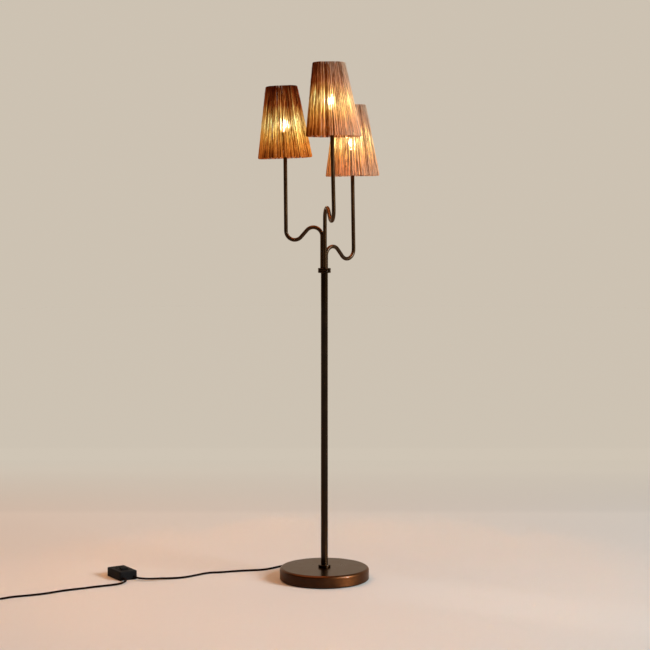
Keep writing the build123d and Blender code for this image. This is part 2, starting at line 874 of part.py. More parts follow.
def plug_body():
    """Flat moulded two-pin plug: cord guard, waisted grip and the wide face at the pins."""
    guard = Cone(plug_guard_tip / 2, plug_tip_thickness / 2, plug_guard_length, align=standing)
    body = Rot(0, quarter_turn_angle, 0) * guard
    tip_round = plug_corner_round * plug_tip_thickness / plug_thickness
    grip_end = plug_guard_length + plug_grip_length
    shoulder = plug_face - plug_grip_length / 2
    sections = [
        plug_section(plug_guard_length, plug_tip_width, plug_tip_thickness, tip_round),
        plug_section(grip_end, plug_grip_width, plug_thickness, plug_corner_round),
        plug_section(shoulder, plug_face_width, plug_thickness, plug_corner_round),
        plug_section(plug_face, plug_face_width, plug_thickness, plug_corner_round),
    ]
    for lower, upper in zip(sections, sections[1:]):
        body += loft([lower, upper], ruled=True)
    for side in (-1, 1):
        y = side * pin_spacing / 2
        start, end = (plug_face - pin_root, y, 0), (plug_face + overrun, y, 0)
        body -= rod(start, end, pin_sleeve_diameter / 2 + pin_seat_clearance)
    return at_plug(body)


def plug_pins():
    """Two round pins: a bare tip, then the thinner insulated length that is moulded in."""
    pins = []
    sleeve_end = plug_face + pin_sleeve_length
    for side in (-1, 1):
        y = side * pin_spacing / 2
        bare = rod((sleeve_end, y, 0), (plug_face + pin_length, y, 0), pin_diameter / 2)
        tip = bare.edges().filter_by(GeomType.CIRCLE).sort_by(Axis.X)[-1]
        sleeve = rod((plug_face - pin_root, y, 0), (sleeve_end, y, 0), pin_sleeve_diameter / 2)
        pins.append(at_plug(sleeve + fillet(tip, pin_tip_round)))
    return Compound(pins)


# Free cord

arc_run_share = 0.45
gap_sample_count = 1200


def cord_tube(name, points):
    """Tube along straight runs joined by arcs as large as their runs allow."""
    points = [Vector(point) for point in points]
    radii = []
    for before, corner, after in zip(points, points[1:], points[2:]):
        turn = math.radians((corner - before).get_angle(after - corner))
        run = min((corner - before).length, (after - corner).length)
        radii.append(arc_run_share * run / math.tan(turn / 2))
    path = FilletPolyline(*points, radius=radii)
    tube = swept(Circle(cord_radius), path)
    ratio = tube.volume / (math.pi * cord_radius ** 2 * path.length)
    print(name, "length", round(path.length, 1), "volume against section times length", round(ratio, 5))
    print(name, "arc radii", [round(radius, 1) for radius in radii])
    return tube


def coil_points():
    """Ends of the coil's half turns with the cord's direction there, wound clockwise from above.

    The radius falls by half a pitch in each half turn on the floor, drops a quarter pitch and
    comes back while the cord climbs, and grows by half a pitch in each half turn on top.
    """
    low, high = cord_radius, cord_radius + coil_pitch
    outer_radius = coil_inner_radius + coil_lower_half_turns * coil_pitch / 2
    stations = []
    for half in range(coil_lower_half_turns + 1):
        stations.append((half, outer_radius - half * coil_pitch / 2, low, 0))
    climb_rise = coil_pitch / (math.pi * coil_inner_radius)
    middle = coil_lower_half_turns + 1 / 2
    stations.append((middle, coil_inner_radius - coil_pitch / 4, (low + high) / 2, 2 * climb_rise))
    for half in range(coil_upper_half_turns + 1):
        stations.append((middle + 1 / 2 + half, coil_inner_radius + half * coil_pitch / 2, high, 0))
    points = []
    for turns, radius, height, slope in stations:
        angle = coil_start_angle - turns * half_turn_angle
        place = arm_place(angle, radius, height) + Vector(coil_x, coil_y, 0)
        along = arm_place(angle - quarter_turn_angle, 1, slope)
        points.append((place, along.normalized()))
    return points


def biarc(start, start_way, end, end_way):
    """Two arcs, tangent to each other and to the given directions at both ends."""
    chord, ways = end - start, start_way + end_way
    square = chord.dot(chord)
    across = chord.dot(ways)
    spare = 4 - ways.dot(ways)
    reach = (math.sqrt(across ** 2 + spare * square) - across) / spare
    middle = (start + start_way * reach + end - end_way * reach) * (1 / 2)
    first = TangentArc(start, middle, tangent=start_way)
    return [first, TangentArc(middle, end, tangent=first % 1)]


def cord_coil():
    points = coil_points()
    start, start_way = points[0]
    end, end_way = points[-1]
    parts = [Line(start - start_way * coil_lead_length, start)]
    for (here, here_way), (there, there_way) in zip(points, points[1:]):
        parts += biarc(here, here_way, there, there_way)
    parts.append(Line(end, end + end_way * coil_lead_length))
    path = Wire([edge for part in parts for edge in part.edges()])
    tube = swept(Circle(cord_radius), path)
    ratio = tube.volume / (math.pi * cord_radius ** 2 * path.length)
    print("cord_coil length", round(path.length, 1), "volume against section times length", round(ratio, 5))
    print("cord_coil least gap to itself", round(least_gap(path), 2))
    return tube


def least_gap(path):
    """Smallest clear distance between stretches of the coil that aren't next to each other."""
    step = path.length / gap_sample_count
    beside = math.ceil(math.pi * coil_inner_radius / 2 / step)
    places = [path @ (index / gap_sample_count) for index in range(gap_sample_count + 1)]
    nearest = min(
        (here - there).length
        for index, here in enumerate(places)
        for there in places[index + beside:]
    )
    return nearest - cord_diameter


def straight_out(place, way, *lengths):
    """Points in a row from `place`, at the given lengths along `way`."""
    return [Vector(place) + way * length for length in lengths]


def cord_lamp():
    """From the base's bushing to the dimmer."""
    base_way = arm_place(cord_exit_angle, 1, 0)
    base_exit = base_way * cord_exit_reach + Vector(0, 0, cord_exit_height)
    beside_base = straight_out(base_exit, base_way, 0, base_straight)
    beside_dimmer = straight_out(dimmer_exit(1), dimmer_way, dimmer_straight, 0)
    return cord_tube("cord_lamp", [*beside_base, *lamp_cord_places, *beside_dimmer])


def cord_mains():
    """From the dimmer to the coil."""
    start, way = coil_points()[0]
    beside_dimmer = straight_out(dimmer_exit(-1), dimmer_way, 0, dimmer_straight)
    reaches = (coil_lead_length + coil_straight, coil_lead_length)
    beside_coil = straight_out(start, -way, *reaches)
    return cord_tube("cord_mains", [*beside_dimmer, *mains_cord_places, *beside_coil])


def cord_tail():
    """From the coil to the plug."""
    end, way = coil_points()[-1]
    beside_coil = straight_out(end, way, coil_lead_length, coil_lead_length + tail_straight)
    plug_end = (plug_x, plug_y, plug_thickness / 2)
    beside_plug = straight_out(plug_end, -arm_place(plug_angle, 1, 0), plug_straight, 0)
    return cord_tube("cord_tail", [*beside_coil, *tail_cord_places, *beside_plug])


pieces = {
    "base_pad": base_pad(),
    "bottom_plate": bottom_plate(),
    "base_weight": base_weight(),
    "base_cover": base_cover(),
    "base_washer": base_washer(),
    "base_nut": base_nut(),
    "base_nipple": base_nipple(),
    "terminal_block": terminal_block(),
    "cord_clamp": cord_clamp(),
    "cord_bushing": cord_bushing(),
    "base_lead": base_lead(),
    "pole_lead": pole_lead(),
    "wire_joiner": wire_joiner(),
    "arm_leads": arm_leads(),
    "pole_foot_ring": pole_foot_ring(),
    "pole_bottom_plug": pole_bottom_plug(),
    "pole_tube": pole_tube(),
    "pole_top_ring": pole_top_ring(),
    "hub_screw": hub_screw(),
    "arm_hub": arm_hub(),
    "dimmer_base": dimmer_base(),
    "dimmer_board": dimmer_board(),
    "dimmer_cover": dimmer_cover(),
    "dimmer_slider": dimmer_slider(),
    "plug_body": plug_body(),
    "plug_pins": plug_pins(),
    "cord_lamp": cord_lamp(),
    "cord_mains": cord_mains(),
    "cord_coil": cord_coil(),
    "cord_tail": cord_tail(),
    "screw_shells": Compound([head_plane(each) * screw_shell() for each in arms]),
}
for each in arms:
    head = head_plane(each)
    pieces["arm_tube_" + each.name] = arm_tube(each)
    pieces["holder_cap_" + each.name] = head * holder_cap()
    pieces["holder_body_" + each.name] = head * holder_body()
    pieces["holder_core_" + each.name] = head * holder_core()
    pieces["shade_ring_" + each.name] = head * shade_ring()
    pieces["shade_frame_" + each.name] = head * shade_frame(each)
    pieces["shade_wrap_" + each.name] = head * shade_wrap(each)
    pieces["bulb_cap_" + each.name] = head * bulb_cap()
    pieces["bulb_glass_" + each.name] = head * bulb_glass()

os.makedirs("parts", exist_ok=True)
for node, shape in pieces.items():
    export_step(shape, "parts/" + node + ".step")
print("nodes", len(pieces))
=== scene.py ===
"""Looks of a three-armed floor lamp: strings, bulbs, lacquer, cord and a plain studio.

Lengths are in metres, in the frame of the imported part: origin in the middle of the base on the
floor, +Z up, and -Y towards the camera.
"""

import json
import math

import bpy
import numpy as np
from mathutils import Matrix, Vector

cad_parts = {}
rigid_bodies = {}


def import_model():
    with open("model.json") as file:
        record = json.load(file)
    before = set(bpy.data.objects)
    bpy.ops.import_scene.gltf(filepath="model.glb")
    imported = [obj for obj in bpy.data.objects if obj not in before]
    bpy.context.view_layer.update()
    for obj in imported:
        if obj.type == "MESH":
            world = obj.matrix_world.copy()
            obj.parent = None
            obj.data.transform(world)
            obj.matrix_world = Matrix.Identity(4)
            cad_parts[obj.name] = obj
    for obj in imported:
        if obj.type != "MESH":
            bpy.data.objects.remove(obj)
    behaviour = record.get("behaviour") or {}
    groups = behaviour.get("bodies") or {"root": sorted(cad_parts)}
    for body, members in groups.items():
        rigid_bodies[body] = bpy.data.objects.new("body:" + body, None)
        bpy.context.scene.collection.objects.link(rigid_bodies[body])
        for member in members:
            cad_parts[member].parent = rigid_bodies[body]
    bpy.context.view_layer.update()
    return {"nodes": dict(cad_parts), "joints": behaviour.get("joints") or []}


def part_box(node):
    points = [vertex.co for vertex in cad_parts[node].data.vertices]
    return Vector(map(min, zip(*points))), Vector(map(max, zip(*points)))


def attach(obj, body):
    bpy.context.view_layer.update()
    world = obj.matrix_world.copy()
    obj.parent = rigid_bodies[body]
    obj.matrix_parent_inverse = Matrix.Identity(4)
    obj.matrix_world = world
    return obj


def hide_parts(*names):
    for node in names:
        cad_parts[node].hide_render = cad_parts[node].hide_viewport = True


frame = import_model()
nodes = frame["nodes"]
arms = ("left", "right", "front")
up = np.array([0.0, 0.0, 1.0])

# Camera, fitted to the photograph
camera_place = (0.0019, -5.1357, 1.1766)
camera_tilt = math.radians(4.18)
focal_pixels = 1656.5
photo_pixels = 650
sensor_width = 0.036

# Wound shades
string_count = 216
string_thickness = 0.0014
string_narrowest = 0.0010
string_widest = 0.0029
string_depths = (0.0007, 0.0018)
string_sides = 5
string_seed = 11
outer_rows = 14
turn_rows = 4
inner_rows = 8
rim_height = 0.0095
rim_share = 0.985

# Middle of a ring's wire: its depth in the wall and its distance inside the rim
wire_depth = 0.004
wire_level = 0.0039

# Unevenness of the winding: the angle's is a share of the pitch, and the width's of the width
depth_scatter = 0.0002
angle_scatter = 0.33
lean_scatter = 0.012
width_scatter = 0.13
string_wander = 0.0007
wander_waves = 5
crowding = 0.18

# How much paler each winding is painted from its left to its right, a painted key light and painted
# shade of the other shades, how much painted light is added low down on its right side, and how
# strongly it glows
windings = {
    "left": {"painted_light_left": -0.38, "painted_light_right": -0.24, "painted_side_glow": 1.1, "strength": 1.0},
    "right": {"painted_light_left": 0.56, "painted_light_right": 0.66, "painted_side_glow": 0.20, "strength": 0.93},
    "front": {"painted_light_left": -0.18, "painted_light_right": 0.86, "painted_side_glow": 0.3, "strength": 0.93},
}

# Loose fibres, whose starts and reaches are shares of the shade's height
fibre_count = 300
fibre_radius = 0.00016
fibre_rows = 5
fibre_sides = 3
fibre_seed = 41
fibre_starts = (0.03, 0.9)
fibre_reaches = (0.03, 0.16)
fibre_bows = (0.0002, 0.0014)
fibre_turn = 0.03
fibre_taper = 0.8
fibre_paleness = (0.4, 1)

# Bulb filaments and stem
filament_count = 7
filament_turn = math.radians(35)
filament_ring_radius = 0.0100
filament_length = 0.019
filament_radius = 0.0020
filament_bow = 0.84
filament_rows = 9
filament_sides = 8
stem_radius = 0.0028
stem_reach = 0.3
stem_neck = 0.45
stem_flare = 0.9
stem_tip = 0.02
stem_rows = 12
stem_sides = 10

# Bulb light, the pool below it, the shade's lit mouth and the air of the studio
bulb_light_radius = 0.0105
bulb_tone = (1.0, 0.60, 0.26)
pool_tone = (1.0, 0.34, 0.09)
pool_angle = math.radians(84)
pool_blend = 0.35
mouth_tone = (1.0, 0.33, 0.08)
mouth_diameter = 0.13
mouth_spread = math.radians(110)
air_tone = (1.0, 0.95, 0.9, 1)
air_strength = 0.012

# Base edge: a band painted lighter, partly wear and partly a painted highlight
base_edge_round = 0.0085
edge_roughness = 0.16

# Studio
studio_radius = 14.0
studio_sides = 96
axis_gap = 0.001
dome_rows = 17
backdrop_tone = (0.61, 0.54, 0.447)
floor_paint = (0.72, 0.68, 0.62)
far_paint = (0.008, 0.0075, 0.007)

# Start and width of the floor's fade and of its paint's change, behind the lamp and all round
fade_back = (0.4, 4.6)
fade_round = (1.7, 1.8)
paint_back = (1.1, 1.3)
paint_round = (1.9, 1.5)
fade_shares = (
    (0.0, 0.0),
    (0.085, 0.04),
    (0.17, 0.10),
    (0.267, 0.44),
    (0.378, 0.83),
    (0.44, 1.0),
    (1.0, 1.0),
)

# Cord
cord_diameter = 0.0065
cord_exit_angle = math.radians(120)
cord_exit_height = 0.010
cord_exit_reach = 0.162
base_straight = 0.022
dimmer_straight = 0.013
coil_straight = 0.025
tail_straight = 0.014
plug_straight = 0.016
coil_lead = 0.0065
coil_centre = (-1.036, -0.262)
coil_start_angle = math.radians(-58)
coil_inner_radius = 0.028
coil_pitch = 0.007
coil_lower_half_turns = 6
coil_upper_half_turns = 5
coil_half_turns = coil_lower_half_turns + 1 + coil_upper_half_turns
coil_outer_radius = coil_inner_radius + coil_lower_half_turns * coil_pitch / 2
coil_upper_radius = coil_inner_radius + coil_upper_half_turns * coil_pitch / 2
coil_points_per_half_turn = 8
dimmer_centre = (-0.63905, 0.02637)
dimmer_angle = math.radians(-57)
dimmer_reach = 0.052
dimmer_exit_offset = 0.020
dimmer_exit_height = 0.0085
plug_end = (-1.1315, -0.2567, 0.00685)
lamp_cord_places = [
    (-0.116, 0.172, 0.0070),
    (-0.143, 0.1695, 0.0042),
    (-0.164, 0.148, 0.0033),
    (-0.195, 0.121, 0.0033),
    (-0.238, 0.113, 0.0033),
    (-0.285, 0.102, 0.0033),
    (-0.330, 0.083, 0.0033),
    (-0.372, 0.079, 0.0033),
    (-0.408, 0.041, 0.0033),
    (-0.443, 0.010, 0.0033),
    (-0.482, -0.005, 0.0042),
    (-0.514, -0.0145, 0.0059),
    (-0.540, -0.027, 0.0074),
    (-0.560, -0.0298, 0.0083),
    (-0.5755, -0.0256, 0.0085),
]
mains_cord_places = [
    (-0.61745, -0.05255, 0.0080),
    (-0.61995, -0.06755, 0.0069),
    (-0.62895, -0.08155, 0.0056),
    (-0.64645, -0.09205, 0.0043),
    (-0.678, -0.1035, 0.0033),
    (-0.713, -0.1215, 0.0033),
    (-0.748, -0.143, 0.0033),
    (-0.794, -0.166, 0.0033),
    (-0.837, -0.203, 0.0033),
    (-0.886, -0.229, 0.0033),
    (-0.932, -0.246, 0.0033),
    (-0.964, -0.272, 0.0033),
]
tail_cord_places = [
    (-1.047, -0.3224, 0.0087),
    (-1.0695, -0.3272, 0.0060),
    (-1.093, -0.323, 0.0040),
    (-1.113, -0.310, 0.0034),
    (-1.126, -0.292, 0.0046),
]


class Value:
    """A number or colour in a shader, with Python's own operators for the numbers."""

    def __init__(self, shader, socket):
        self.shader = shader
        self.socket = socket

    def maths(self, operation, *values):
        return self.shader.node("ShaderNodeMath", {"operation": operation}, dict(enumerate(values)))

    def __add__(self, other):
        return self.maths("ADD", self, other)

    def __sub__(self, other):
        return self.maths("SUBTRACT", self, other)

    def __rsub__(self, other):
        return self.maths("SUBTRACT", other, self)

    def __mul__(self, other):
        return self.maths("MULTIPLY", self, other)

    def __truediv__(self, other):
        return self.maths("DIVIDE", self, other)

    def __pow__(self, other):
        return self.maths("POWER", self, other)

    __radd__ = __add__
    __rmul__ = __mul__

    def larger(self, other):
        return self.maths("MAXIMUM", self, other)

    def clamped(self):
        return self.maths("MINIMUM", self.larger(0.0), 1.0)

    def past(self, start, width):
        """How many widths the value lies past its start."""
        return (self - start) / width


class Shader:
    """A material built round one Principled surface."""

    def __init__(self, name, **constants):
        self.material = bpy.data.materials.new(name)
        self.material.use_nodes = True
        self.tree = self.material.node_tree
        self.surface = self.tree.nodes["Principled BSDF"]
        self.end = self.tree.nodes["Material Output"]
        self.set(self.surface, {key.replace("_", " "): value for key, value in constants.items()})

    def set(self, node, inputs):
        for key, value in inputs.items():
            if isinstance(value, Value):
                self.tree.links.new(value.socket, node.inputs[key])
            elif isinstance(value, (tuple, list)) and len(node.inputs[key].default_value) == 4:
                node.inputs[key].default_value = (*value[:3], 1.0)
            else:
                node.inputs[key].default_value = value

    def node(self, kind, settings=None, inputs=None, output=0):
        made = self.tree.nodes.new(kind)
        for key, value in (settings or {}).items():
            setattr(made, key, value)
        self.set(made, inputs or {})
        return Value(self, made.outputs[output])

    def feed(self, **inputs):
        self.set(self.surface, {key.replace("_", " "): value for key, value in inputs.items()})

    def place(self):
        """Point on the piece, in metres."""
        return self.node("ShaderNodeTexCoord", output="Object")

    def attribute(self, name):
        return self.node("ShaderNodeAttribute", {"attribute_name": name}, output="Fac")

    def parts(self, vector):
        split = self.tree.nodes.new("ShaderNodeSeparateXYZ")
        self.set(split, {0: vector})
        return [Value(self, output) for output in split.outputs]

    def joined(self, x, y, z):
        return self.node("ShaderNodeCombineXYZ", inputs={0: x, 1: y, 2: z})

    def stretched(self, vector, scale):
        return self.node("ShaderNodeMapping", inputs={"Vector": vector, "Scale": scale})

    def noise(self, vector, scale, detail=2.0, roughness=0.5):
        inputs = {"Vector": vector, "Scale": scale, "Detail": detail, "Roughness": roughness}
        return self.node("ShaderNodeTexNoise", inputs=inputs)

    def ramp(self, factor, stops, interpolation="LINEAR"):
        made = self.tree.nodes.new("ShaderNodeValToRGB")
        ramp = made.color_ramp
        ramp.interpolation = interpolation
        while len(ramp.elements) < len(stops):
            ramp.elements.new(0.5)
        for element, (position, colour) in zip(ramp.elements, stops):
            element.position = position
            element.color = (*colour, 1.0)
        self.set(made, {0: factor})
        return Value(self, made.outputs[0])

    def between(self, factor, first, second, blend="MIX"):
        made = self.tree.nodes.new("ShaderNodeMix")
        made.data_type = "RGBA"
        made.blend_type = blend
        self.set(made, {0: factor, 6: first, 7: second})
        return Value(self, made.outputs[2])

    def bump(self, height, distance, strength=1.0):
        inputs = {"Height": height, "Distance": distance, "Strength": strength}
        self.feed(Normal=self.node("ShaderNodeBump", inputs=inputs))


def finish_with(material, *names):
    """Puts one material on CAD nodes or new pieces, by name."""
    for name in names:
        slots = bpy.data.objects[name].data.materials
        slots.clear()
        slots.append(material)


# Shapes


def piece(name, points, quads, body, material, fields=None):
    """A smooth mesh piece that rides on a body, with one number per point for each field."""
    mesh = bpy.data.meshes.new(name)
    mesh.from_pydata(points.reshape(-1, 3), [], quads.reshape(-1, 4))
    mesh.shade_smooth()
    for field, values in (fields or {}).items():
        attribute = mesh.attributes.new(field, "FLOAT", "POINT")
        attribute.data.foreach_set("value", values.astype(np.float32).ravel())
    mesh.materials.append(material)
    made = bpy.data.objects.new(name, mesh)
    bpy.context.scene.collection.objects.link(made)
    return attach(made, body)


def ring_quads(count, rows, sides, closed):
    """Quads of `count` tubes: each joins a row's point to the next row and the next side."""
    index = np.arange(count * rows * sides).reshape(count, rows, sides)
    beside = np.roll(index, -1, axis=2)
    quads = np.stack([index, beside, np.roll(beside, -1, axis=1), np.roll(index, -1, axis=1)], axis=-1)
    return quads if closed else quads[:, :-1]


def unit(vectors):
    return vectors / np.linalg.norm(vectors, axis=-1, keepdims=True)


def smooth_wander(random, count, rows, amount, waves=3):
    """Sums of a few slow sines along each string, each with its own size and phase."""
    along = np.linspace(0, 1, rows)[None, None, :]
    turns = np.arange(1, waves + 1)[None, :, None]
    sizes = random.normal(0, amount, (count, waves, 1)) / turns
    phases = random.uniform(0, 2 * math.pi, (count, waves, 1))
    return (sizes * np.sin(2 * math.pi * turns * along + phases)).sum(axis=1)


def wrap_rims(node):
    """Centre, two axes, normal and radius of the lower and the upper rim of a shade's wall.

    A rim's points are those within a rim's height of the wall's end that lie farthest out.
    Their spread gives the centre, and the plane through them gives the axes.
    """
    mesh = nodes[node].data
    points = np.zeros(len(mesh.vertices) * 3)
    mesh.vertices.foreach_get("co", points)
    points = points.reshape(-1, 3)
    low, high = points[:, 2].min() + rim_height, points[:, 2].max() - rim_height
    rims = []
    for end in (points[points[:, 2] < low], points[points[:, 2] > high]):
        centre = (end.min(axis=0) + end.max(axis=0)) / 2
        reach = np.linalg.norm((end - centre)[:, :2], axis=1)
        rim = end[reach > rim_share * reach.max()]
        centre = (rim.min(axis=0) + rim.max(axis=0)) / 2
        normal = np.linalg.svd(rim - rim.mean(axis=0))[2][2]
        normal = normal * math.copysign(1, normal[2])
        across = unit(np.array([normal[2], 0.0, -normal[0]]))
        rims.append((centre, across, np.cross(normal, across), normal, reach.max()))
    return rims


def rim_points(rim, angles, radii, levels):
    """Points at the given angle, radius and height over a rim's plane."""
    centre, across, away, normal, _ = rim
    return (
        centre
        + (radii * np.cos(angles))[..., None] * across
        + (radii * np.sin(angles))[..., None] * away
        + levels[..., None] * normal
    )


def string_loops(rims, random):
    """Centre line, sideways and outward direction of every winding of a shade.

    A winding goes up the outside in a straight line from the lower ring to the upper one, half
    way round the upper ring's wire, down the inside and half way round the lower ring's wire.
    Depth in the wall alternates, so that neighbours pile up where the shade narrows.
    """
    lower, upper = rims
    count = string_count
    number = np.arange(count)
    angles = 2 * math.pi * (number + random.uniform(-angle_scatter, angle_scatter, count)) / count
    lean = random.normal(0, lean_scatter, count)
    depth = np.array(string_depths)[number % len(string_depths)]
    depth = depth + random.uniform(-depth_scatter, depth_scatter, count)
    turn_radius = (wire_depth - depth)[:, None]
    half_turn = np.linspace(0, math.pi, turn_rows + 2)[None, 1:-1]
    rows = outer_rows + turn_rows + inner_rows + turn_rows
    share = np.concatenate([
        np.linspace(0, 1, outer_rows), np.ones(turn_rows),
        np.linspace(1, 0, inner_rows), np.zeros(turn_rows),
    ])[None, :]
    inward = np.concatenate([
        np.repeat(depth[:, None], outer_rows, axis=1),
        wire_depth - turn_radius * np.cos(half_turn),
        np.repeat(2 * wire_depth - depth[:, None], inner_rows, axis=1),
        wire_depth + turn_radius * np.cos(half_turn),
    ], axis=1)
    flat = np.zeros((count, 1))
    lift = np.concatenate([
        np.repeat(flat, outer_rows, axis=1), turn_radius * np.sin(half_turn),
        np.repeat(flat, inner_rows, axis=1), -turn_radius * np.sin(half_turn),
    ], axis=1)
    wander = smooth_wander(random, count, rows, string_wander, wander_waves)
    wander = wander * np.sin(math.pi * share) ** 0.5
    centres = []
    for rim, level in ((lower, wire_level), (upper, -wire_level)):
        turned = angles[:, None] + lean[:, None] * share + wander / rim[4]
        centres.append(rim_points(rim, turned, rim[4] - inward, level + lift))
    line = centres[0] * (1 - share)[..., None] + centres[1] * share[..., None]
    sideways_angle = angles + math.pi / 2
    sideways = rim_points(lower, sideways_angle, np.ones(count), np.zeros(count)) - lower[0]
    sideways = np.repeat(sideways[:, None], rows, axis=1)
    along = unit(np.roll(line, -1, axis=1) - np.roll(line, 1, axis=1))
    return line, sideways, unit(np.cross(sideways, along)), share


def wound_strings(name, node, body, material, seed):
    """Every winding as a flat oval tube whose width wavers along it.

    Strings crowd together where the shade narrows, so they are narrower there.
    """
    random = np.random.default_rng(seed)
    line, sideways, outward, share = string_loops(wrap_rims(node), random)
    count, rows = line.shape[:2]
    width = random.uniform(string_narrowest, string_widest, (count, 1))
    width = width * (1 + smooth_wander(random, count, rows, width_scatter))
    width = width * (1 - crowding * share)
    sides = np.linspace(0, 2 * math.pi, string_sides, endpoint=False)
    points = (
        line[:, :, None]
        + (width / 2)[..., None, None] * np.cos(sides)[:, None] * sideways[:, :, None]
        + string_thickness / 2 * np.sin(sides)[:, None] * outward[:, :, None]
    )
    shape = (count, rows, string_sides)
    inner = np.zeros(rows)
    inner[outer_rows + turn_rows // 2:rows - turn_rows // 2] = 1
    steps = np.linalg.norm(np.diff(line, axis=1, prepend=line[:, :1]), axis=-1).cumsum(axis=1)
    fields = {
        "tone": np.broadcast_to(random.uniform(0, 1, (count, 1, 1)), shape),
        "run": np.broadcast_to(steps[..., None] + np.arange(count)[:, None, None], shape),
        "inside": np.broadcast_to(inner[None, :, None], shape),
        "level": np.broadcast_to(share[..., None], shape),
    }
    quads = ring_quads(count, rows, string_sides, closed=True)
    made = piece(name, points, quads, body, material, fields)
    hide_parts(node)


def loose_fibres(name, node, body, material, seed):
    """Hair-thin ends that stand off the strings: short lines bowed outwards from the wall."""
    random = np.random.default_rng(seed)
    lower, upper = wrap_rims(node)
    along = np.linspace(0, 1, fibre_rows)[None, :]
    each = (fibre_count, 1)
    start = random.uniform(*fibre_starts, each)
    reach = random.uniform(*fibre_reaches, each)
    share = np.clip(start + reach * along, 0.0, 1.0)
    bow = random.uniform(*fibre_bows, each) * np.sin(math.pi * along) ** 0.8
    angles = random.uniform(0, 2 * math.pi, each)
    angles = angles + random.normal(0, fibre_turn, each) * along
    ends = [
        rim_points(rim, angles, rim[4] + bow, np.zeros_like(angles)) for rim in (lower, upper)
    ]
    line = ends[0] * (1 - share)[..., None] + ends[1] * share[..., None]
    sides = np.linspace(0, 2 * math.pi, fibre_sides, endpoint=False)
    tangent = unit(np.gradient(line, axis=1))
    sideways = unit(np.cross(tangent, line - (lower[0] + upper[0]) / 2))
    outward = np.cross(sideways, tangent)
    thin = fibre_radius * (1 - fibre_taper * np.abs(2 * along - 1) ** 3)
    points = line[:, :, None] + thin[..., None, None] * (
        np.cos(sides)[:, None] * sideways[:, :, None] + np.sin(sides)[:, None] * outward[:, :, None]
    )
    shape = (fibre_count, fibre_rows, fibre_sides)
    fields = {
        "tone": np.broadcast_to(random.uniform(*fibre_paleness, (fibre_count, 1, 1)), shape),
        "run": np.broadcast_to(along[..., None] + np.arange(fibre_count)[:, None, None], shape),
        "inside": np.zeros(shape),
        "level": np.broadcast_to(share[..., None], shape),
    }
    quads = ring_quads(fibre_count, fibre_rows, fibre_sides, closed=False)
    made = piece(name, points, quads, body, material, fields)


def tubes(lines, radii, sides):
    """Round tubes along straight or gently bent lines, one radius per row."""
    off_the_lines = np.array([0.31, 0.95, 0.05])
    tangent = unit(np.gradient(lines, axis=1))
    sideways = unit(np.cross(tangent, off_the_lines))
    outward = np.cross(sideways, tangent)
    angles = np.linspace(0, 2 * math.pi, sides, endpoint=False)
    return lines[:, :, None] + radii[..., None, None] * (
        np.cos(angles)[:, None] * sideways[:, :, None] + np.sin(angles)[:, None] * outward[:, :, None]
    )


def bulb_middle(arm):
    """Centre of the globe and the direction in which the bulb lifts out."""
    low, high = [np.array(corner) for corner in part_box("bulb_glass_" + arm)]
    globe_radius = (high[1] - low[1]) / 2
    axis = next(j["axis"] for j in frame["joints"] if j["child"] == "bulb_" + arm)
    top = np.array([(low[0] + high[0]) / 2, (low[1] + high[1]) / 2, high[2]])
    return top - up * globe_radius, np.array(axis)


def filaments(arm, material):
    """Glowing rods with rounded ends, bowed into a small ball inside the globe.

    They light neither the shade nor the metal: the bulb's own light does.
    """
    middle, axis = bulb_middle(arm)
    angles = np.arange(filament_count) * 2 * math.pi / filament_count + filament_turn
    spread = np.stack([np.cos(angles), np.sin(angles), np.zeros(filament_count)], axis=-1)
    along = np.linspace(-0.5, 0.5, filament_rows)[None, :, None]
    reach = filament_ring_radius * np.cos(math.pi * filament_bow * along)
    lines = middle + spread[:, None] * reach + axis * along * filament_length
    ends = np.abs(2 * along[..., 0]) ** 8
    radii = np.repeat(filament_radius * np.sqrt(1.001 - ends), filament_count, axis=0)
    quads = ring_quads(filament_count, filament_rows, filament_sides, closed=False)
    points = tubes(lines, radii, filament_sides)
    made = piece("bulb_filaments_" + arm, points, quads, "bulb_" + arm, material)
    made.visible_diffuse = made.visible_glossy = False


def bulb_stem(arm, material):
    """Glass stem that flares down to the bulb's cap and ends in a point among the filaments."""
    middle, axis = bulb_middle(arm)
    cap_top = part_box("bulb_cap_" + arm)[1][2]
    foot = middle - axis * (middle[2] - cap_top)
    tip = middle + axis * stem_reach * filament_length
    share = np.linspace(0, 1, stem_rows)
    line = (foot + (tip - foot) * share[:, None])[None]
    radii = stem_radius * (stem_neck + stem_flare * (1 - share) ** 2.5)[None]
    radii[:, -1] = stem_radius * stem_tip
    quads = ring_quads(1, stem_rows, stem_sides, closed=False)
    points = tubes(line, radii, stem_sides)
    made = piece("bulb_stem_" + arm, points, quads, "bulb_" + arm, material)


# Finishes


# Fibre from the darkest to the palest, and the light through it from the lower rim to the upper
dye_tones = (
    (0.0, (0.022, 0.0022, 0.0003)),
    (0.33, (0.072, 0.0085, 0.0012)),
    (0.65, (0.17, 0.070, 0.030)),
    (1.0, (0.48, 0.33, 0.215)),
)
glow_tones = (
    (0.0, (0.145, 0.028, 0.0030)),
    (0.18, (0.22, 0.055, 0.006)),
    (0.34, (0.33, 0.125, 0.018)),
    (0.48, (0.42, 0.232, 0.058)),
    (0.60, (0.24, 0.086, 0.015)),
    (0.74, (0.085, 0.014, 0.0018)),
    (1.0, (0.018, 0.0020, 0.0003)),
)


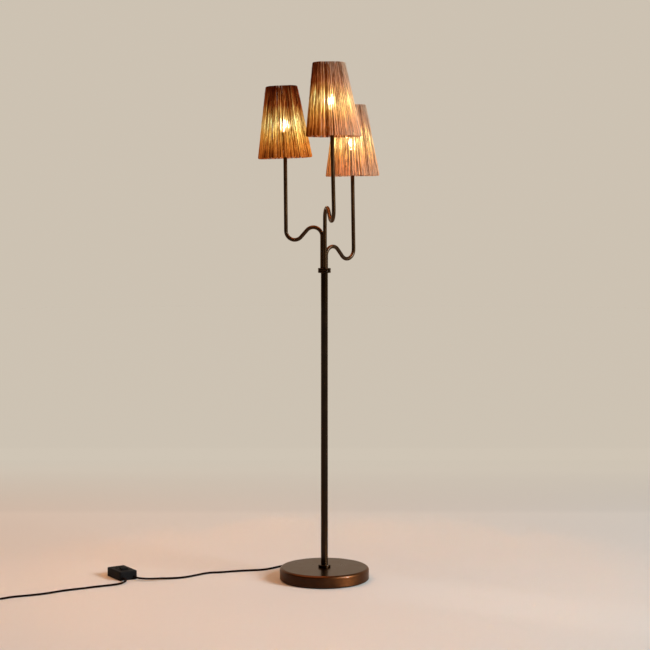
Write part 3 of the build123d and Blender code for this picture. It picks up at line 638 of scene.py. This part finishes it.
def string_fibre(arm, painted_light_left, painted_light_right, painted_side_glow, strength):
    """Dull plant fibre, lit through by the bulb: brightest at the bulb's height, dark above it.

    The winding is painted paler towards the +X side of each shade and darker towards the -X side, a
    painted key light and painted shade, and painted light from the key and the neighbouring shades is
    added low down on the +X side. Where little light comes through, it is also redder.
    """
    shader = Shader("string_fibre_" + arm, Roughness=0.72, Specular_IOR_Level=0.02)
    place = shader.place()
    tone, run, level, inside = (
        shader.attribute(field) for field in ("tone", "run", "level", "inside")
    )
    streak = shader.noise(shader.joined(run * 9.0, tone * 37.0, 0.0), 3.0, 3.0, 0.6)
    fine = shader.noise(shader.joined(run * 28.0, tone * 91.0, 1.0), 3.0, 3.0, 0.6)
    flame = shader.noise(shader.stretched(place, (80.0, 80.0, 9.0)), 1.0, 3.0, 0.6)
    mottle = shader.noise(shader.stretched(place, (190.0, 190.0, 15.0)), 1.0, 2.0, 0.6)
    mottle = ((mottle - 0.34) * 3.2).clamped()
    low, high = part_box("shade_wrap_" + arm)
    # Share across the shade from its -X side to its +X side, along which light and shade are painted
    side = shader.parts(place)[0].past(low[0], high[0] - low[0]).clamped()
    # Painted key light and painted shade: the fibre is made paler or darker across the shade
    painted_side_light = side * (painted_light_right - painted_light_left) + painted_light_left
    # The fibre's own dye and streaks, with the painted light and shade added
    dye_and_painted_light = (tone * 0.65 + streak * 0.5 + fine * 0.3 + mottle * 0.3 - 0.48 + painted_side_light).clamped()
    colour = shader.ramp(dye_and_painted_light, dye_tones)
    glow = shader.ramp(level + (flame - 0.5) * 0.4, glow_tones)
    passes = shader.node(
        "ShaderNodeMapRange", {"interpolation_type": "SMOOTHSTEP"},
        {"Value": tone * 0.45 + streak * 0.3 + mottle * 0.25, 1: 0.28, 2: 0.72, 3: 0.2, 4: 2.1},
    )
    amount = passes * (1 + inside * level * 5.0) * (0.5 + fine) * strength
    # Painted light from the key and the neighbouring shades, added low down on the +X side
    amount = amount * (1 + side * ((0.45 - level) * 3.0).clamped() * painted_side_glow)
    green = amount * (0.85 + amount * 0.15)
    blue = amount * (0.65 + amount * 0.35)
    glow = shader.between(1.0, glow, shader.joined(amount, green, blue), "MULTIPLY")
    shader.feed(Base_Color=colour, Emission_Color=glow, Emission_Strength=1.0)
    shader.bump(fine * 0.5 + streak, 0.0006, 0.5)
    return shader.material


# Lacquered bronze from its darkest clouds to its lightest, and the lighter edge where use has worn it,
# which is also a painted highlight
bronze_tones = (
    (0.25, (0.026, 0.0080, 0.0020)),
    (0.55, (0.040, 0.0120, 0.0030)),
    (0.80, (0.060, 0.0190, 0.0050)),
)
rubbed_highlight_bronze = (0.12, 0.042, 0.015)


def bronze_lacquer(name, roughness, painted_light_tint, worn_highlight_edge=None):
    """Dark bronze under clear lacquer, with faint cloudiness and fine specks.

    The edge argument gives the radius, the level and the size of a round edge painted lighter,
    partly as wear from use and partly as a painted highlight. The side below it is rougher than the
    top.
    """
    shader = Shader(
        name, Metallic=1.0, Coat_Weight=0.2, Coat_Roughness=0.07, Coat_IOR=1.42,
        Specular_Tint=(0.92, 0.78, 0.68),
    )
    place = shader.place()
    cloud = shader.noise(place, 22.0, 3.0, 0.55)
    speck = shader.noise(place, 900.0, 2.0, 0.6)
    # The tint lightens or darkens each copy of the lacquer: painted light and painted shade
    colour = shader.ramp(cloud, [
        (position, tuple(share * part for share, part in zip(painted_light_tint, tone)))
        for position, tone in bronze_tones
    ])
    if worn_highlight_edge:
        radius, level, size = worn_highlight_edge
        x, y, z = shader.parts(place)
        outwards = ((x * x + y * y) ** 0.5).past(radius - size, size).clamped()
        upwards = z.past(level - size, size).clamped()
        # Painted highlight and wear: the round edge's band is made lighter
        rubbed_highlight = (outwards * upwards * (0.7 + 2.6 * cloud * speck)).clamped()
        colour = shader.between(rubbed_highlight, colour, rubbed_highlight_bronze)
        roughness = (1 - upwards) * edge_roughness + roughness
    shader.feed(Base_Color=colour, Roughness=roughness + cloud * 0.12 + speck * 0.04)
    shader.bump(speck, 0.00004, 0.4)
    return shader.material


def moulded(name, colour, roughness, grain=1400.0, depth=0.00005, shine=0.45):
    """Moulded plastic or rubber: an even colour with a fine grain in its surface."""
    shader = Shader(name, Specular_IOR_Level=shine)
    place = shader.place()
    fine = shader.noise(place, grain, 2.0, 0.6)
    cloud = shader.noise(place, 60.0, 2.0, 0.5)
    lighter = tuple(1.5 * part for part in colour)
    shader.feed(Base_Color=shader.between(cloud, colour, lighter), Roughness=roughness + fine * 0.14)
    shader.bump(fine, depth, 0.6)
    return shader.material


def bare_metal(name, colour, roughness, brushed=0.0):
    """Bare metal with turned or brushed marks across its Z axis."""
    shader = Shader(name, Metallic=1.0)
    place = shader.stretched(shader.place(), (60.0, 60.0, 60.0 + 900.0 * brushed))
    marks = shader.noise(place, 6.0, 3.0, 0.65)
    darker = tuple(0.72 * part for part in colour)
    shader.feed(Base_Color=shader.between(marks, darker, colour), Roughness=roughness + marks * 0.15)
    shader.bump(marks, 0.00003, 0.5)
    return shader.material


def glowing_glass():
    """Clear bulb glass with a warm bloom of its own light in it."""
    shader = Shader(
        "bulb_glass", Base_Color=(1.0, 0.9, 0.78), Roughness=0.25, Alpha=0.45,
        Emission_Color=(1.0, 0.80, 0.52), Emission_Strength=0.9,
    )
    return shader.material


def hot_filament():
    """Rods that glow far brighter than the white that the camera can show."""
    shader = Shader(
        "hot_filament", Base_Color=(1.0, 0.75, 0.4), Roughness=0.5,
        Emission_Color=(1.0, 0.88, 0.68), Emission_Strength=260.0,
    )
    return shader.material


def circuit_board():
    """Green board with copper-coloured spots."""
    shader = Shader("circuit_board", Roughness=0.45)
    spots = shader.noise(shader.place(), 300.0, 1.0)
    tones = [(0.45, (0.10, 0.16, 0.05)), (0.6, (0.32, 0.20, 0.06))]
    shader.feed(Base_Color=shader.ramp(spots, tones, "CONSTANT"))
    return shader.material


# Cord


def heading(angle):
    return np.array([math.cos(angle), math.sin(angle), 0.0])


def coil_line():
    """Route of the put-away coil: a flat spiral inwards, a climb, and a flat spiral outwards.

    The radius falls by half a pitch in each half turn, holds over the climb and grows again.
    A control point stands outside the curve by the share that the curve cuts inside it.
    """
    turns = np.linspace(0, coil_half_turns, coil_half_turns * coil_points_per_half_turn + 1)
    rising = np.clip(turns - coil_lower_half_turns, 0, 1)
    drawn_in = np.minimum(turns, coil_lower_half_turns)
    opened = np.maximum(turns - coil_lower_half_turns - 1, 0)
    radius = coil_outer_radius - (drawn_in - opened) * coil_pitch / 2
    radius = radius - np.sin(math.pi * rising) * coil_pitch / 4
    radius = radius / math.cos(math.pi / 2 / coil_points_per_half_turn)
    angle = coil_start_angle - turns * math.pi
    x = coil_centre[0] + radius * np.cos(angle)
    y = coil_centre[1] + radius * np.sin(angle)
    z = cord_diameter / 2 + coil_pitch * (3 * rising ** 2 - 2 * rising ** 3)
    return np.stack([x, y, z], -1)


def coil_end(half_turns, radius, height):
    """Place and direction of one of the coil's ends."""
    angle = coil_start_angle - half_turns * math.pi
    place = np.array([*coil_centre, height]) + radius * heading(angle)
    return place, heading(angle - math.pi / 2)


def cord_piece(name, route, material, body):
    """A cord as one smooth spline over its route's points, with a round section."""
    curve = bpy.data.curves.new(name, "CURVE")
    curve.dimensions = "3D"
    curve.bevel_depth = cord_diameter / 2
    curve.bevel_resolution = 4
    curve.resolution_u = 8
    curve.use_fill_caps = True
    spline = curve.splines.new("NURBS")
    spline.points.add(len(route) - 1)
    spline.points.foreach_set("co", np.column_stack([route, np.ones(len(route))]).ravel())
    spline.order_u = 3
    spline.use_endpoint_u = True
    curve.materials.append(material)
    made = bpy.data.objects.new(name, curve)
    bpy.context.scene.collection.objects.link(made)
    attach(made, body)
    return made


def dimmer_exit(side):
    """Where a cord leaves the guard on one side of the dimmer's end."""
    middle = np.array([*dimmer_centre, dimmer_exit_height])
    sideways = heading(dimmer_angle + math.pi / 2) * side * dimmer_exit_offset
    return middle + heading(dimmer_angle) * dimmer_reach + sideways


def cords(material):
    """The cord from the base to the dimmer, and the one from there over the coil to the plug."""
    out, away = heading(cord_exit_angle), heading(dimmer_angle)
    start = out * cord_exit_reach + up * cord_exit_height
    lamp_route = np.array([
        start, start + out * base_straight, *lamp_cord_places,
        dimmer_exit(1) + away * dimmer_straight, dimmer_exit(1),
    ])
    low, high = cord_diameter / 2, cord_diameter / 2 + coil_pitch
    coil_start, start_way = coil_end(0, coil_outer_radius, low)
    coil_stop, stop_way = coil_end(coil_half_turns, coil_upper_radius, high)
    plug_way = np.array([0.0, 1.0, 0.0])
    mains_route = np.array([
        dimmer_exit(-1), dimmer_exit(-1) + away * dimmer_straight, *mains_cord_places,
        coil_start - start_way * (coil_lead + coil_straight), coil_start - start_way * coil_lead,
        *coil_line()[1:-1],
        coil_stop + stop_way * coil_lead, coil_stop + stop_way * (coil_lead + tail_straight),
        *tail_cord_places, np.array(plug_end) - plug_way * plug_straight, plug_end,
    ])
    lamp = cord_piece("cord_to_dimmer", lamp_route, material, "lamp")
    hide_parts("cord_lamp")
    mains = cord_piece("cord_to_plug", mains_route, material, "lamp")
    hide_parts("cord_mains", "cord_coil", "cord_tail")


# Studio


def revolved(name, profile, material):
    """A profile of radius and height turned round the Z axis, as part of the studio."""
    angles = np.linspace(0, 2 * math.pi, studio_sides, endpoint=False)
    radius, height = np.array(profile).T[:, :, None]
    points = np.stack([radius * np.cos(angles), radius * np.sin(angles), height + 0 * angles], -1)
    index = np.arange(points[..., 0].size).reshape(points.shape[:2])
    beside = np.roll(index, -1, axis=1)
    quads = np.stack([index[:-1], beside[:-1], beside[1:], index[1:]], -1)
    mesh = bpy.data.meshes.new(name)
    mesh.from_pydata(points.reshape(-1, 3), [], quads.reshape(-1, 4))
    mesh.shade_smooth()
    mesh.materials.append(material)
    made = bpy.data.objects.new(name, mesh)
    bpy.context.scene.collection.objects.link(made)
    return made


def studio():
    """A round floor that fades with distance into the even tone of the backdrop round it.

    Only the camera sees the backdrop. The floor fades early behind the lamp and later elsewhere.
    """
    shader = Shader("studio_floor", Roughness=0.9, Specular_IOR_Level=0.1, Emission_Strength=1.0)
    x, y, _ = shader.parts(shader.place())
    radius = (x * x + y * y) ** 0.5
    greys = [(position, (share,) * 3) for position, share in fade_shares]
    behind = shader.ramp(y.past(*fade_back).clamped(), greys)
    faded = behind.larger(radius.past(*fade_round).clamped())
    lit = shader.between(faded, (0.0, 0.0, 0.0), backdrop_tone)
    far = y.past(*paint_back).larger(radius.past(*paint_round)).clamped()
    paint = shader.between(far, floor_paint, far_paint)
    shader.feed(Base_Color=paint, Emission_Color=lit)
    revolved("studio_floor", [(axis_gap, 0.0), (studio_radius, 0.0)], shader.material)
    tone = Shader(
        "studio_backdrop", Base_Color=(0.0, 0.0, 0.0), Specular_IOR_Level=0.0,
        Emission_Color=backdrop_tone, Emission_Strength=1.0,
    )
    rise = np.linspace(0, math.pi / 2, dome_rows)
    dome = np.stack([studio_radius * np.cos(rise) + axis_gap, studio_radius * np.sin(rise)], -1)
    backdrop = revolved("studio_backdrop", dome, tone.material)
    backdrop.visible_diffuse = backdrop.visible_glossy = False
    backdrop.visible_transmission = backdrop.visible_shadow = False


def area_light(name, place, target, size, power, colour, spread=math.pi):
    """A rectangular light that faces its target and isn't seen itself."""
    light = bpy.data.lights.new(name, "AREA")
    light.shape = "RECTANGLE"
    light.size, light.size_y = size
    light.energy = power
    light.color = colour
    light.spread = spread
    made = bpy.data.objects.new(name, light)
    made.location = place
    x, y, z = np.array(target) - np.array(place)
    made.rotation_euler = (math.atan2(math.hypot(x, y), -z), 0, math.atan2(-x, y))
    made.visible_camera = False
    bpy.context.scene.collection.objects.link(made)


def bulb_lights(arm, power, pool_power, mouth_power):
    """Light of one bulb in its shade, the pool it throws on the floor, and the shade's lit mouth."""
    inside = bpy.data.lights.new("bulb_light_" + arm, "POINT")
    inside.color = bulb_tone
    inside.energy = power
    pool = bpy.data.lights.new("pool_light_" + arm, "SPOT")
    pool.color = pool_tone
    pool.energy = pool_power
    pool.spot_size = pool_angle
    pool.spot_blend = pool_blend
    for light in (inside, pool):
        light.shadow_soft_size = bulb_light_radius
        made = bpy.data.objects.new(light.name, light)
        made.location = bulb_middle(arm)[0]
        made.visible_glossy = light is inside
        bpy.context.scene.collection.objects.link(made)
    mouth = bpy.data.lights.new("mouth_light_" + arm, "AREA")
    mouth.shape = "DISK"
    mouth.size = mouth_diameter
    mouth.spread = mouth_spread
    mouth.color = mouth_tone
    mouth.energy = mouth_power
    made = bpy.data.objects.new(mouth.name, mouth)
    made.location = wrap_rims("shade_wrap_" + arm)[0][0]
    made.visible_camera = False
    bpy.context.scene.collection.objects.link(made)
    for name in ("bulb_glass_", "bulb_filaments_", "bulb_stem_"):
        bpy.data.objects[name + arm].visible_shadow = False


def lights():
    """Cool key light, a glint on the base, warm light above and behind, and the three bulbs."""
    area_light(
        "key", place=(6.1, -3.4, 3.75), target=(0, 0, 0.8), size=(3.0, 3.0),
        power=270, colour=(0.77, 0.90, 1.0), spread=math.radians(110),
    )
    area_light(
        "glint", place=(1.6, -0.92, 0.09), target=(0.12, -0.07, 0.04), size=(0.3, 0.1),
        power=0.17, colour=(1, 1, 1), spread=math.radians(8),
    )
    area_light(
        "above", place=(-2.0, -0.6, 3.4), target=(-2.0, -0.59, 0), size=(4.0, 4.0),
        power=84, colour=(1.0, 0.49, 0.25),
    )
    area_light(
        "behind", place=(0, 2.8, 3.0), target=(0, 0, 3.0), size=(14.0, 6.0),
        power=150, colour=(1.0, 0.88, 0.72),
    )
    world = bpy.data.worlds.new("studio_air")
    world.use_nodes = True
    air = world.node_tree.nodes["Background"]
    air.inputs["Color"].default_value = air_tone
    air.inputs["Strength"].default_value = air_strength
    bpy.context.scene.world = world
    for arm in arms:
        bulb_lights(arm, power=1.7, pool_power=6.0, mouth_power=0.2)


def camera():
    lens = bpy.data.cameras.new("camera")
    lens.sensor_fit = "HORIZONTAL"
    lens.sensor_width = sensor_width * 1000
    lens.lens = focal_pixels * sensor_width * 1000 / photo_pixels
    made = bpy.data.objects.new("camera", lens)
    made.location = camera_place
    made.rotation_euler = (math.pi / 2 - camera_tilt, 0, 0)
    bpy.context.scene.collection.objects.link(made)
    bpy.context.scene.camera = made


# The base's top edge carries a lighter band, partly wear and partly a painted highlight
base_edge = (*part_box("base_cover")[1][1:], base_edge_round)
# Three tints of one lacquer: darker on the pole and lighter on the arms, painted shade and painted
# light for how the light falls on each
bronze = bronze_lacquer("bronze_lacquer", 0.24, painted_light_tint=(0.55, 0.85, 1.2))
arm_bronze = bronze_lacquer("arm_bronze", 0.34, painted_light_tint=(1.25, 2.0, 3.2))
worn_highlight_bronze = bronze_lacquer("worn_highlight_bronze", 0.22, painted_light_tint=(1.1, 1.2, 1.3), worn_highlight_edge=base_edge)
sheath = moulded("cord_sheath", (0.007, 0.0028, 0.0016), 0.6, shine=0.05)
black_plastic = moulded("black_plastic", (0.005, 0.0042, 0.004), 0.55, shine=0.1)
holder_plastic = moulded("holder_plastic", (0.022, 0.018, 0.016), 0.4)
ceramic = moulded("ceramic", (0.55, 0.52, 0.45), 0.25)
felt = moulded("felt", (0.02, 0.02, 0.02), 0.85, grain=500.0, depth=0.0003)
casting = bare_metal("casting", (0.12, 0.12, 0.12), 0.6)
steel = bare_metal("plain_steel", (0.50, 0.50, 0.51), 0.3, brushed=1.0)
brass = bare_metal("plain_brass", (0.72, 0.52, 0.24), 0.25, brushed=1.0)
nickel = bare_metal("nickel", (0.62, 0.60, 0.56), 0.25, brushed=1.0)
glass = glowing_glass()
filament = hot_filament()

finish_with(worn_highlight_bronze, "base_cover")
finish_with(bronze, "pole_tube", "pole_foot_ring", "pole_top_ring", "arm_hub")
finish_with(casting, "base_weight")
finish_with(steel, "bottom_plate", "base_nut", "base_washer", "hub_screw", "pole_bottom_plug")
finish_with(brass, "base_nipple", "screw_shells", "plug_pins")
finish_with(felt, "base_pad")
finish_with(sheath, "cord_bushing", "base_lead", "pole_lead", "arm_leads", "plug_body")
finish_with(holder_plastic, "terminal_block", "cord_clamp", "wire_joiner")
finish_with(black_plastic, "dimmer_base", "dimmer_cover", "dimmer_slider")
finish_with(circuit_board(), "dimmer_board")
for number, arm in enumerate(arms):
    finish_with(arm_bronze, "arm_tube_" + arm, "holder_cap_" + arm, "shade_frame_" + arm)
    finish_with(holder_plastic, "holder_body_" + arm, "shade_ring_" + arm)
    finish_with(ceramic, "holder_core_" + arm)
    finish_with(nickel, "bulb_cap_" + arm)
    finish_with(glass, "bulb_glass_" + arm)
    filaments(arm, filament)
    bulb_stem(arm, glass)
    wrap = "shade_wrap_" + arm
    fibre = string_fibre(arm, **windings[arm])
    wound_strings("shade_strings_" + arm, wrap, "lamp", fibre, string_seed + number)
    loose_fibres("shade_fibres_" + arm, wrap, "lamp", fibre, fibre_seed + number)
cords(sheath)
studio()
lights()
camera()
bpy.context.scene.view_settings.view_transform = "Standard"
